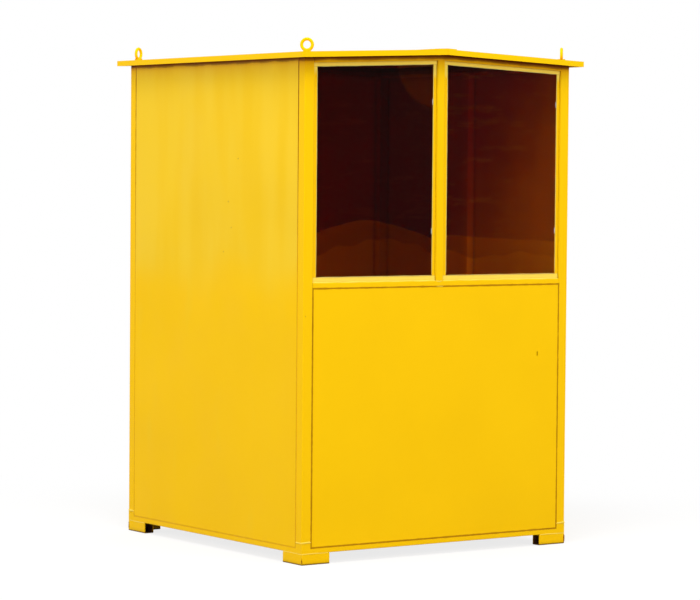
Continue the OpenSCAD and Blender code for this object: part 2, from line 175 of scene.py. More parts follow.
def ramp(tree, value, low, high, to_low=0.0, to_high=1.0):
    """Smooth step of a value from one range to another."""
    node = tree.nodes.new("ShaderNodeMapRange")
    node.interpolation_type = "SMOOTHSTEP"
    for name, number in (("From Min", low), ("From Max", high),
                         ("To Min", to_low), ("To Max", to_high)):
        node.inputs[name].default_value = number
    tree.links.new(value, node.inputs["Value"])
    return node.outputs["Result"]


def math_node(tree, operation, a, b=None):
    """Math on sockets or numbers."""
    node = tree.nodes.new("ShaderNodeMath")
    node.operation = operation
    for slot, value in enumerate((a, b)):
        if value is None:
            continue
        if isinstance(value, (int, float)):
            node.inputs[slot].default_value = value
        else:
            tree.links.new(value, node.inputs[slot])
    return node.outputs["Value"]


def mix_colour(tree, factor, a, b, blend="MIX"):
    """Mix of two colours, each a socket or a tuple."""
    node = tree.nodes.new("ShaderNodeMix")
    node.data_type = "RGBA"
    node.blend_type = blend
    if isinstance(factor, (int, float)):
        node.inputs["Factor"].default_value = factor
    else:
        tree.links.new(factor, node.inputs["Factor"])
    for socket, value in ((node.inputs[6], a), (node.inputs[7], b)):
        if isinstance(value, (tuple, list)):
            socket.default_value = (*value, 1)
        else:
            tree.links.new(value, socket)
    return node.outputs[2]


def sheen_group():
    """Painted sheen: paler paint from knee height up, in uneven clouds."""
    group, source, out = new_group(
        "painted_sheen", [("Start height", "NodeSocketFloat", 1.0), ("End height", "NodeSocketFloat", 1.5),
                   ("Cloud scale", "NodeSocketFloat", 1.6), ("Strength", "NodeSocketFloat", 1.0)],
        [("Mask", "NodeSocketFloat")])
    coords = group.nodes.new("ShaderNodeTexCoord")
    split = group.nodes.new("ShaderNodeSeparateXYZ")
    group.links.new(coords.outputs["Object"], split.inputs["Vector"])
    clouds = group.nodes.new("ShaderNodeTexNoise")
    clouds.inputs["Detail"].default_value = 1.5
    group.links.new(coords.outputs["Object"], clouds.inputs["Vector"])
    group.links.new(source.outputs["Cloud scale"], clouds.inputs["Scale"])
    cloud_shift = math_node(group, "MULTIPLY",
                            math_node(group, "SUBTRACT", clouds.outputs["Fac"], 0.5), 0.55)
    shifted = math_node(group, "ADD", split.outputs["Z"], cloud_shift)
    step = group.nodes.new("ShaderNodeMapRange")
    step.interpolation_type = "SMOOTHSTEP"
    group.links.new(shifted, step.inputs["Value"])
    group.links.new(source.outputs["Start height"], step.inputs["From Min"])
    group.links.new(source.outputs["End height"], step.inputs["From Max"])
    group.links.new(math_node(group, "MULTIPLY", step.outputs["Result"],
                              source.outputs["Strength"]), out.inputs["Mask"])
    return group


def occlusion_shade_group():
    """Painted occlusion shade: darker in grooves and under edges, found by ambient occlusion and broken up by
    fine noise.
    """
    group, source, out = new_group(
        "occlusion_shade", [("Reach", "NodeSocketFloat", 0.03), ("Strength", "NodeSocketFloat", 1.0)],
        [("Mask", "NodeSocketFloat")])
    shade = group.nodes.new("ShaderNodeAmbientOcclusion")
    shade.samples = 6
    shade.only_local = False
    group.links.new(source.outputs["Reach"], shade.inputs["Distance"])
    coords = group.nodes.new("ShaderNodeTexCoord")
    fine = noise(group, coords.outputs["Object"], 55, 3, 0.6)
    hidden = math_node(group, "SUBTRACT", 1.0, shade.outputs["AO"])
    broken = math_node(group, "MULTIPLY", hidden, ramp(group, fine, 0.2, 0.7, 0.65, 1.15))
    group.links.new(math_node(group, "MULTIPLY", broken, source.outputs["Strength"]),
                    out.inputs["Mask"])
    return group


def joint_group():
    """Thin line round a sheet's edge, where it meets the frame."""
    group, source, out = new_group(
        "joint_line", [("Along Y", "NodeSocketFloat", 0.0), ("Half width", "NodeSocketFloat", 0.6993),
                       ("Low", "NodeSocketFloat", 0.0758), ("High", "NodeSocketFloat", 1.2293),
                       ("Line", "NodeSocketFloat", 0.0052), ("Strength", "NodeSocketFloat", 1.0),
                       ("Low strength", "NodeSocketFloat", 1.0)],
        [("Mask", "NodeSocketFloat")])
    coords = group.nodes.new("ShaderNodeTexCoord").outputs["Object"]
    split = group.nodes.new("ShaderNodeSeparateXYZ")
    group.links.new(coords, split.inputs["Vector"])
    pick = group.nodes.new("ShaderNodeMix")
    group.links.new(source.outputs["Along Y"], pick.inputs["Factor"])
    group.links.new(split.outputs["X"], pick.inputs[2])
    group.links.new(split.outputs["Y"], pick.inputs[3])
    across = math_node(group, "SUBTRACT", math_node(group, "ABSOLUTE", pick.outputs[0]),
                       source.outputs["Half width"])
    middle = math_node(group, "MULTIPLY",
                       math_node(group, "ADD", source.outputs["Low"], source.outputs["High"]), 0.5)
    half = math_node(group, "MULTIPLY",
                     math_node(group, "SUBTRACT", source.outputs["High"], source.outputs["Low"]), 0.5)
    from_middle = math_node(group, "ABSOLUTE", math_node(group, "SUBTRACT", split.outputs["Z"], middle))
    away = math_node(group, "MAXIMUM", across, math_node(group, "SUBTRACT", from_middle, half))
    waver = math_node(group, "MULTIPLY", noise(group, coords, 28, 2, 0.6), 1.2)
    width = math_node(group, "MULTIPLY", source.outputs["Line"], math_node(group, "ADD", waver, 0.4))
    near = math_node(group, "SUBTRACT", 1.0,
                     math_node(group, "DIVIDE", math_node(group, "ABSOLUTE", away), width))
    line = ramp(group, near, 0.0, 0.45)
    rise = ramp(group, split.outputs["Z"], 1.1, 2.1)
    level = group.nodes.new("ShaderNodeMix")
    group.links.new(rise, level.inputs["Factor"])
    group.links.new(source.outputs["Low strength"], level.inputs[2])
    group.links.new(source.outputs["Strength"], level.inputs[3])
    in_front = ramp(group, split.outputs["Y"], -0.6, -0.5, 1.0, 0.0)
    at_floor = ramp(group, split.outputs["Z"], 0.2, 0.3, 1.0, 0.0)
    kept = math_node(group, "MAXIMUM", math_node(group, "MAXIMUM", in_front, at_floor),
                     source.outputs["Along Y"])
    shown = math_node(group, "MULTIPLY", line, level.outputs[0])
    group.links.new(math_node(group, "MULTIPLY", shown, kept), out.inputs["Mask"])
    return group


def eave_group():
    """Painted shade under the roof's rim: a wide soft shade and a thin dark line."""
    group, source, out = new_group(
        "eave_shade", [("Rim height", "NodeSocketFloat", 2.2825), ("Slope", "NodeSocketFloat", 1 / 24),
                      ("Reach", "NodeSocketFloat", 0.075), ("Line", "NodeSocketFloat", 0.017)],
        [("Shade", "NodeSocketFloat"), ("Line", "NodeSocketFloat")])
    coords = group.nodes.new("ShaderNodeTexCoord").outputs["Object"]
    split = group.nodes.new("ShaderNodeSeparateXYZ")
    group.links.new(coords, split.inputs["Vector"])
    fall = math_node(group, "MULTIPLY", math_node(group, "ABSOLUTE", split.outputs["X"]),
                     source.outputs["Slope"])
    below = math_node(group, "SUBTRACT", source.outputs["Rim height"],
                      math_node(group, "ADD", split.outputs["Z"], fall))
    clouds = noise(group, coords, 9, 3, 0.55, (1, 1, 0.4))
    uneven = math_node(group, "ADD", math_node(group, "MULTIPLY", clouds, 1.2), 0.4)
    for name, label, power in (("Reach", "Shade", 2.0), ("Line", "Line", 0.5)):
        width = math_node(group, "MULTIPLY", source.outputs[name], uneven)
        near = math_node(group, "SUBTRACT", 1.0, math_node(group, "DIVIDE", below, width))
        clear = math_node(group, "MINIMUM", math_node(group, "MAXIMUM", near, 0.0), 1.0)
        group.links.new(math_node(group, "POWER", clear, power), out.inputs[label])
    return group


def pane_marks_group():
    """Marks on a pane: a wavy edge below which a painted reflection lightens it, a rounded corner patch and
    wipe marks.
    """
    group, source, out = new_group(
        "pane_film", [("Start", "NodeSocketFloat", -0.68), ("Edge height", "NodeSocketFloat", 1.477),
                      ("Rise", "NodeSocketFloat", 0.353), ("Bend", "NodeSocketFloat", -0.620),
                      ("Corner X", "NodeSocketFloat", -0.02), ("Corner Z", "NodeSocketFloat", 2.26),
                      ("Corner radius", "NodeSocketFloat", 0.22)],
        [("Thin", "NodeSocketFloat"), ("Corner", "NodeSocketFloat"), ("Wipes", "NodeSocketFloat")])
    coords = group.nodes.new("ShaderNodeTexCoord").outputs["Object"]
    split = group.nodes.new("ShaderNodeSeparateXYZ")
    group.links.new(coords, split.inputs["Vector"])
    along = math_node(group, "SUBTRACT", split.outputs["X"], source.outputs["Start"])
    bend = math_node(group, "ADD", source.outputs["Rise"],
                     math_node(group, "MULTIPLY", source.outputs["Bend"], along))
    edge = math_node(group, "ADD", source.outputs["Edge height"], math_node(group, "MULTIPLY", bend, along))
    waver = math_node(group, "MULTIPLY",
                      math_node(group, "SUBTRACT", noise(group, coords, 5, 1, 0.5), 0.5), 0.024)
    depth = math_node(group, "SUBTRACT", math_node(group, "ADD", edge, waver), split.outputs["Z"])
    first = ramp(group, depth, -0.004, 0.006, 0.0, 0.62)
    second = ramp(group, math_node(group, "SUBTRACT", depth, math_node(
        group, "MULTIPLY", noise(group, coords, 4, 1, 0.5), 0.16)), -0.004, 0.01, 0.0, 0.38)
    group.links.new(math_node(group, "ADD", first, second), out.inputs["Thin"])
    side = math_node(group, "SUBTRACT", split.outputs["X"], source.outputs["Corner X"])
    drop = math_node(group, "SUBTRACT", split.outputs["Z"], source.outputs["Corner Z"])
    reach = math_node(group, "SQRT", math_node(group, "ADD", math_node(group, "MULTIPLY", side, side),
                                               math_node(group, "MULTIPLY", drop, drop)))
    inside = math_node(group, "SUBTRACT", source.outputs["Corner radius"], reach)
    group.links.new(ramp(group, inside, -0.008, 0.012), out.inputs["Corner"])
    wipes = noise(group, coords, 3.2, 4, 0.65, (1.4, 1, 7))
    group.links.new(ramp(group, wipes, 0.52, 0.72), out.inputs["Wipes"])
    return group


def orange_peel_group():
    """Height of sprayed paint: fine peel over broad, soft waves of the sheet."""
    group, source, out = new_group(
        "orange_peel", [("Peel scale", "NodeSocketFloat", 260.0), ("Wave scale", "NodeSocketFloat", 2.2),
                        ("Wave", "NodeSocketFloat", 1.0)],
        [("Height", "NodeSocketFloat")])
    coords = group.nodes.new("ShaderNodeTexCoord")
    peel = group.nodes.new("ShaderNodeTexNoise")
    peel.inputs["Detail"].default_value = 1
    wave = group.nodes.new("ShaderNodeTexNoise")
    wave.inputs["Detail"].default_value = 0.5
    for node, scale in ((peel, "Peel scale"), (wave, "Wave scale")):
        group.links.new(coords.outputs["Object"], node.inputs["Vector"])
        group.links.new(source.outputs[scale], node.inputs["Scale"])
    broad = math_node(group, "MULTIPLY", wave.outputs["Fac"],
                      math_node(group, "MULTIPLY", source.outputs["Wave"], 60.0))
    fine = math_node(group, "MULTIPLY", peel.outputs["Fac"], 0.06)
    group.links.new(math_node(group, "ADD", broad, fine), out.inputs["Height"])
    return group


# ---------------------------------------------------------------- materials

def blank_material(name):
    """New node material with its Principled shader."""
    material = bpy.data.materials.new(name)
    material.use_nodes = True
    return material, material.node_tree, material.node_tree.nodes["Principled BSDF"]


def bump(tree, shader, height, strength, distance):
    """Feed a height to the shader's normal."""
    node = tree.nodes.new("ShaderNodeBump")
    node.inputs["Strength"].default_value = strength
    node.inputs["Distance"].default_value = distance
    tree.links.new(height, node.inputs["Height"])
    tree.links.new(node.outputs["Normal"], shader.inputs["Normal"])


def yellow_paint(name, paint, groups, wave=1.0, sheen=1.0, start=1.13, joint=0.85, side_joint=0.8,
                 side_low=0.28, eave=0.62, eave_line=0.97, occlusion_shade=0.6, base=None, lip_highlights=False,
                 sole_shadow=False):
    """Sprayed yellow enamel with a painted sheen that pales it upwards, dirty joint lines, and painted shade in
    grooves and under the rim.
    """
    material, tree, shader = blank_material(name)
    coords = tree.nodes.new("ShaderNodeTexCoord").outputs["Object"]
    base = tuple(base or paint.yellow)
    mottle = ramp(tree, noise(tree, coords, 3.5, 3, 0.55, (1, 1, 0.45)), 0.3, 0.7, 0.0, 0.35)
    colour = mix_colour(tree, mottle, base, tuple(c * f for c, f in zip(base, (0.97, 0.945, 0.9))))
    # Painted sheen: the paint turns paler higher up and in soft blobs.
    if sheen:
        painted_sheen = group_node(tree, groups["painted_sheen"], Start_height=start, End_height=start + 0.22,
                            Strength=sheen)
        pale = tuple(paint.sheen_yellow)
        bands = ramp(tree, noise(tree, coords, 2.6, 2.5, 0.5, (1, 2.2, 0.35)), 0.35, 0.65, 0.0, 1.0)
        pale = mix_colour(tree, bands, pale, (pale[0] * 0.985, pale[1] * 0.945, pale[2] * 0.45))
        colour = mix_colour(tree, painted_sheen.outputs["Mask"], colour, pale)
        blobs = ramp(tree, noise(tree, coords, 8, 1.5, 0.5, (1, 1, 0.3)), 0.6, 0.8, 0.0, 0.3)
        colour = mix_colour(tree, math_node(tree, "MULTIPLY", blobs, sheen), colour,
                            tuple(paint.sheen_yellow))
    # Painted highlight: the glazing beads' lips at the sill and the head turn paler.
    if lip_highlights:
        height = tree.nodes.new("ShaderNodeSeparateXYZ")
        tree.links.new(coords, height.inputs["Vector"])
        foot = ramp(tree, height.outputs["Z"], 1.276, 1.281, 1.0, 0.0)
        head = ramp(tree, height.outputs["Z"], 2.17, 2.20)
        colour = mix_colour(tree, math_node(tree, "MAXIMUM", foot, head), colour,
                            tuple(paint.highlight_yellow))
    # Painted occlusion shade: the paint darkens where ambient occlusion finds grooves and edges.
    occluded = group_node(tree, groups["occlusion_shade"], Reach=0.024, Strength=occlusion_shade)
    colour = mix_colour(tree, occluded.outputs["Mask"], colour, tuple(paint.occlusion_shade))
    # Painted shade under the roof's rim: a soft darker band and a thin dark line.
    if eave:
        under = group_node(tree, groups["eave"])
        shade = math_node(tree, "MULTIPLY", under.outputs["Shade"], eave)
        colour = mix_colour(tree, shade, colour, tuple(c * f for c, f in zip(base, (0.62, 0.32, 0.2))))
        line = math_node(tree, "MULTIPLY", under.outputs["Line"], eave_line)
        colour = mix_colour(tree, line, colour, tuple(paint.eave_shade))
    # Painted contact shadow: darker in the lowest millimetres of the feet.
    if sole_shadow:
        low = tree.nodes.new("ShaderNodeSeparateXYZ")
        tree.links.new(coords, low.inputs["Vector"])
        wear_and_shadow = ramp(tree, low.outputs["Z"], 0.003, 0.009, 0.85, 0.0)
        colour = mix_colour(tree, wear_and_shadow, colour, tuple(c * 0.6 for c in paint.occlusion_shade))
    if joint:
        front = group_node(tree, groups["joint"], Strength=joint, Low_strength=joint)
        colour = mix_colour(tree, front.outputs["Mask"], colour, tuple(paint.joint_dirt))
    if side_joint:
        side = group_node(tree, groups["joint"], Along_Y=1.0, High=2.2515, Strength=side_joint,
                          Low_strength=side_low, Line=0.0045)
        colour = mix_colour(tree, side.outputs["Mask"], colour,
                            tuple(c * f for c, f in zip(paint.joint_dirt, (0.8, 0.45, 1.0))))
    tree.links.new(colour, shader.inputs["Base Color"])
    patches = noise(tree, coords, 9, 2, 0.5)
    tree.links.new(ramp(tree, patches, 0.25, 0.75, 0.30, 0.42), shader.inputs["Roughness"])
    shader.inputs["Specular IOR Level"].default_value = 0.06
    peel = group_node(tree, groups["orange_peel"], Wave=wave)
    bump(tree, shader, peel.outputs["Height"], 0.5, 0.0006)
    return material


def joint_filler(paint):
    """Paint that has run into the joints: brown on the front, darker towards the eave at the sides."""
    material, tree, shader = blank_material("joint_filler")
    coords = tree.nodes.new("ShaderNodeTexCoord").outputs["Object"]
    split = tree.nodes.new("ShaderNodeSeparateXYZ")
    tree.links.new(coords, split.inputs["Vector"])
    at_side = ramp(tree, math_node(tree, "ABSOLUTE", split.outputs["X"]), 0.735, 0.742)
    clean = tuple(c * f for c, f in zip(paint.yellow, (0.90, 0.74, 0.8)))
    high = ramp(tree, split.outputs["Z"], 1.2, 2.2)
    side = mix_colour(tree, high, clean, tuple(c * f for c, f in zip(paint.joint_dirt, (0.5, 0.15, 1))))
    smear = ramp(tree, noise(tree, coords, 16, 3, 0.6, (1, 1, 0.4)), 0.3, 0.7, 0.0, 0.5)
    front = mix_colour(tree, smear, tuple(paint.joint_dirt), clean)
    tree.links.new(mix_colour(tree, at_side, front, side), shader.inputs["Base Color"])
    tree.links.new(ramp(tree, smear, 0.0, 0.5, 0.4, 0.55), shader.inputs["Roughness"])
    shader.inputs["Specular IOR Level"].default_value = 0.1
    bump(tree, shader, noise(tree, coords, 120, 2), 0.3, 0.0006)
    return material


def brown_pane(name, tint, reflected_tint, groups, painted_glow=0.0, corner=0.0, wiped=0.03, **mark_values):
    """Brown see-through pane, lightened by a painted reflection below a wavy edge and by a painted glow."""
    material, tree, shader = blank_material(name)
    coords = tree.nodes.new("ShaderNodeTexCoord").outputs["Object"]
    split = tree.nodes.new("ShaderNodeSeparateXYZ")
    tree.links.new(coords, split.inputs["Vector"])
    pane_marks = group_node(tree, groups["pane_marks"], **mark_values)
    # Painted reflection: the tint turns lighter below the wavy edge.
    pane_tone = mix_colour(tree, pane_marks.outputs["Thin"], tuple(tint), tuple(reflected_tint))
    # Painted glow: the tint turns lighter towards the lower right, in clouds.
    lean = math_node(tree, "SUBTRACT", math_node(tree, "MULTIPLY", split.outputs["X"], 1.1),
                     math_node(tree, "MULTIPLY", split.outputs["Z"], 0.55))
    cloudy = math_node(tree, "ADD", lean, math_node(tree, "MULTIPLY", noise(tree, coords, 4, 2), 0.3))
    glow_mask = ramp(tree, cloudy, -0.74, -0.02, 0.0, painted_glow)
    pane_tone = mix_colour(tree, glow_mask, pane_tone, tuple(reflected_tint))
    wipes = math_node(tree, "MULTIPLY", pane_marks.outputs["Wipes"], wiped)
    pane_tone = mix_colour(tree, wipes, pane_tone, tuple(min(1, c * 1.3 + 0.02) for c in reflected_tint))
    patch = math_node(tree, "MULTIPLY", pane_marks.outputs["Corner"], corner)
    pane_tone = mix_colour(tree, patch, pane_tone, (0.50, 0.26, 0.16))
    tree.links.new(pane_tone, shader.inputs["Base Color"])
    shader.inputs["Transmission Weight"].default_value = 1.0
    shader.inputs["Roughness"].default_value = 0.04
    shader.inputs["IOR"].default_value = 1.3
    shader.inputs["Specular Tint"].default_value = (0.14, 0.045, 0.03, 1)
    bump(tree, shader, noise(tree, coords, 5, 1, 0.5), 0.25, 0.003)
    return material


def zinc_plate(paint):
    """Zinc plating with a soft spangle."""
    material, tree, shader = blank_material("zinc_plate")
    coords = tree.nodes.new("ShaderNodeTexCoord").outputs["Object"]
    cells = tree.nodes.new("ShaderNodeTexVoronoi")
    cells.inputs["Scale"].default_value = 180
    tree.links.new(coords, cells.inputs["Vector"])
    spangle = ramp(tree, cells.outputs["Distance"], 0.0, 0.8, 0.0, 0.5)
    tree.links.new(mix_colour(tree, spangle, tuple(paint.zinc), tuple(c * 0.75 for c in paint.zinc)),
                   shader.inputs["Base Color"])
    tree.links.new(ramp(tree, noise(tree, coords, 60), 0.3, 0.7, 0.35, 0.5),
                   shader.inputs["Roughness"])
    shader.inputs["Metallic"].default_value = 0.55
    return material


def floor_steel():
    """Worn grey floor plate."""
    material, tree, shader = blank_material("floor_steel")
    coords = tree.nodes.new("ShaderNodeTexCoord").outputs["Object"]
    wear_and_shadow = ramp(tree, noise(tree, coords, 7, 4, 0.6), 0.35, 0.7)
    tree.links.new(mix_colour(tree, wear_and_shadow, (0.20, 0.13, 0.06), (0.32, 0.28, 0.24)),
                   shader.inputs["Base Color"])
    tree.links.new(ramp(tree, wear_and_shadow, 0, 1, 0.45, 0.75), shader.inputs["Roughness"])
    bump(tree, shader, noise(tree, coords, 220), 0.3, 0.0005)
    return material


def dark_handle():
    """Satin black lever and plate with fine grain."""
    material, tree, shader = blank_material("dark_handle")
    coords = tree.nodes.new("ShaderNodeTexCoord").outputs["Object"]
    grain = noise(tree, coords, 400, 2)
    tree.links.new(mix_colour(tree, grain, (0.022, 0.022, 0.024), (0.045, 0.045, 0.048)),
                   shader.inputs["Base Color"])
    tree.links.new(ramp(tree, grain, 0.2, 0.8, 0.38, 0.55), shader.inputs["Roughness"])
    bump(tree, shader, grain, 0.2, 0.0003)
    return material


def rust_inside(paint):
    """Bare brown inside of a tube's open end."""
    material, tree, shader = blank_material("tube_inside")
    coords = tree.nodes.new("ShaderNodeTexCoord").outputs["Object"]
    spots = noise(tree, coords, 70, 4, 0.6)
    tree.links.new(mix_colour(tree, ramp(tree, spots, 0.3, 0.7), (0.055, 0.012, 0.002), (0.12, 0.035, 0.004)),
                   shader.inputs["Base Color"])
    tree.links.new(ramp(tree, spots, 0.2, 0.8, 0.6, 0.85), shader.inputs["Roughness"])
    bump(tree, shader, spots, 0.4, 0.0008)
    return material


def stage_material():
    """Pale floor: white to the eye and in reflections, dimmer as a light source."""
    material, tree, shader = blank_material("stage_floor")
    tree.nodes.remove(shader)
    output = tree.nodes["Material Output"]
    path = tree.nodes.new("ShaderNodeLightPath")
    seen = math_node(tree, "MAXIMUM", path.outputs["Is Camera Ray"],
                     math_node(tree, "MAXIMUM", path.outputs["Is Glossy Ray"],
                               path.outputs["Is Transmission Ray"]))
    matt = tree.nodes.new("ShaderNodeBsdfDiffuse")
    tree.links.new(mix_colour(tree, seen, (0.42, 0.40, 0.36), (0.96, 0.96, 0.965)),
                   matt.inputs["Color"])
    white = tree.nodes.new("ShaderNodeEmission")
    white.inputs["Strength"].default_value = 1.0
    blend = tree.nodes.new("ShaderNodeMixShader")
    coords = tree.nodes.new("ShaderNodeTexCoord").outputs["Object"]
    length = tree.nodes.new("ShaderNodeVectorMath")
    length.operation = "LENGTH"
    tree.links.new(coords, length.inputs[0])
    share = ramp(tree, length.outputs["Value"], 1.4, 3.2, 0.80, 1.0)
    tree.links.new(math_node(tree, "MULTIPLY", seen, share), blend.inputs["Fac"])
    tree.links.new(matt.outputs["BSDF"], blend.inputs[1])
    tree.links.new(white.outputs["Emission"], blend.inputs[2])
    tree.links.new(blend.outputs["Shader"], output.inputs["Surface"])
    return material


# ---------------------------------------------------------------- mesh helpers

def add_mesh(name, build, material):
    """Object from a bmesh builder, riding on the cabin."""
    bm = bmesh.new()
    build(bm)
    bmesh.ops.recalc_face_normals(bm, faces=bm.faces)
    mesh = bpy.data.meshes.new(name)
    bm.to_mesh(mesh)
    bm.free()
    mesh.materials.append(material)
    for polygon in mesh.polygons:
        polygon.use_smooth = True
    piece = bpy.data.objects.new(name, mesh)
    bpy.context.scene.collection.objects.link(piece)
    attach(piece, BODY)
    return piece


def bead(bm, path, radius, ripple=0.22, pitch=0.006, sides=10, seed=0.0, sink=None):
    """Weld bead along a path: an uneven round bar whose ripples follow the torch."""
    points = []
    for start, end in zip(path, path[1:]):
        steps = max(2, int((end - start).length / (pitch / 2.5)))
        points += [start.lerp(end, i / steps) for i in range(steps)]
    points.append(path[-1])
    rings = []
    travelled = 0.0
    for i, point in enumerate(points):
        ahead = points[min(i + 1, len(points) - 1)] - points[max(i - 1, 0)]
        along = ahead.normalized()
        side = along.cross(Vector((0, 0, 1)))
        side = side.normalized() if side.length > 0.1 else Vector((1, 0, 0))
        up = side.cross(along)
        if i:
            travelled += (point - points[i - 1]).length
        phase = travelled / pitch * math.tau
        slow = math.sin(travelled * 31 + seed) + 0.6 * math.sin(travelled * 83 + seed * 2.3)
        size = radius * (1 + ripple * 0.5 * math.sin(phase) + ripple * 0.55 * slow)
        size *= min(1.0, 0.35 + i / 4, 0.35 + (len(points) - 1 - i) / 4)
        centre = point + up * radius * ripple * 0.9 * math.sin(travelled * 47 + seed * 1.7)
        if sink:
            centre = centre + sink * radius * 0.25 * math.sin(travelled * 23 + seed)
        rings.append([bm.verts.new(centre + (side * math.cos(a) + up * math.sin(a)) * size)
                      for a in (math.tau * k / sides for k in range(sides))])
    for a, b in zip(rings, rings[1:]):
        for k in range(sides):
            bm.faces.new((a[k], a[(k + 1) % sides], b[(k + 1) % sides], b[k]))
    bm.faces.new(rings[0])
    bm.faces.new(reversed(rings[-1]))


def corner_signs():
    """The four corners as signs of X and Y."""
    return [(x, y) for x in (-1, 1) for y in (-1, 1)]


def node_box(name):
    """Lowest and highest corner of a CAD node as vectors."""
    low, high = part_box(name)
    return Vector(low), Vector(high)


def cad_objects():
    """The carried-over CAD objects by node name."""
    return {name: bpy.data.objects[name] for name in frame["nodes"] if name in bpy.data.objects}


# ---------------------------------------------------------------- operators

class CABIN_OT_finish_nodes(bpy.types.Operator):
    """Give every carried-over steel part, pane and fitting its finish"""
    bl_idname = "cabin.finish_nodes"
    bl_label = "Finish the cabin's parts"

    def execute(self, context):
        paint = context.scene.cabin_paint
        sizes = context.scene.cabin_sizes
        groups = {"painted_sheen": sheen_group(), "occlusion_shade": occlusion_shade_group(), "joint": joint_group(),
                  "eave": eave_group(), "pane_marks": pane_marks_group(), "orange_peel": orange_peel_group()}
        finishes = {
            "sheet": yellow_paint("sheet_paint", paint, groups, joint=0.0, eave=0.5),
            "front": yellow_paint("front_paint", paint, groups, wave=0.8, sheen=0.0, side_joint=0.0),
            "tube": yellow_paint("tube_paint", paint, groups, wave=0.25, sheen=0.0, eave=0.85,
                                 sole_shadow=True),
            "joint": joint_filler(paint),
            "seam": yellow_paint("seam_paint", paint, groups, wave=0.1, sheen=0.0, joint=0.0,
                                 side_joint=0.0, eave=0.0, occlusion_shade=0.4, base=(0.33, 0.12, 0.002)),
            "roof": yellow_paint("roof_paint", paint, groups, wave=0.3, sheen=0.0, joint=0.0,
                                 side_joint=0.0, eave=0.0, occlusion_shade=0.45),
            "bead": yellow_paint("bead_paint", paint, groups, wave=0.2, sheen=0.0, joint=0.0,
                                 side_joint=0.0, eave=0.0, occlusion_shade=0.45, lip_highlights=True),
            # The weld beads get the paler yellow, a painted highlight.
            "weld": yellow_paint("highlight_yellow", paint, groups, wave=0.1, sheen=0.0, joint=0.0,
                                 side_joint=0.0, eave=0.0, occlusion_shade=0.3, base=paint.highlight_yellow),
            "pane_left": brown_pane("pane_left", paint.pane_left, paint.pane_left_reflection, groups,
                                    corner=0.75),
            "pane_right": brown_pane("pane_right", paint.pane_right, paint.pane_right_reflection, groups,
                                     painted_glow=0.55, wiped=0.09, Start=0.04, Edge_height=1.462, Rise=-0.05, Bend=0.0,
                                     Corner_radius=-1.0)}
        special = {"zinc": zinc_plate(paint), "floor_steel": floor_steel(),
                   "dark_handle": dark_handle()}
        slots = {part["node"]: part["material_slot"] for part in frame["record"]["subparts"]}
        for name in frame["nodes"]:
            piece = frame["nodes"][name]
            slot = slots[name]
            if slot in special:
                material = special[slot]
            elif slot == "brown_pane":
                material = finishes["pane_" + name.rsplit("_", 1)[1]]
            elif name == "sheet_front":
                material = finishes["front"]
            elif name.startswith(("sheet_", "door_leaf")):
                material = finishes["sheet"]
            elif name.startswith("window_beads"):
                material = finishes["bead"]
            elif name.startswith(("roof_", "ridge_cap", "lifting_eye")):
                material = finishes["roof"]
            else:
                material = finishes["tube"]
            piece.data.materials.clear()
            piece.data.materials.append(material)
            if slot == "yellow_paint" and not name.startswith("lifting_eye"):
                edge = piece.modifiers.new("edge", "BEVEL")
                edge.width = sizes.edge
                edge.segments = 2
                edge.limit_method = "ANGLE"
                edge.angle_limit = math.radians(50)
                edge.harden_normals = False
        if any(not frame["nodes"][name].data.materials for name in frame["nodes"]):
            raise RuntimeError("a part has no finish")
        return {"FINISHED"}


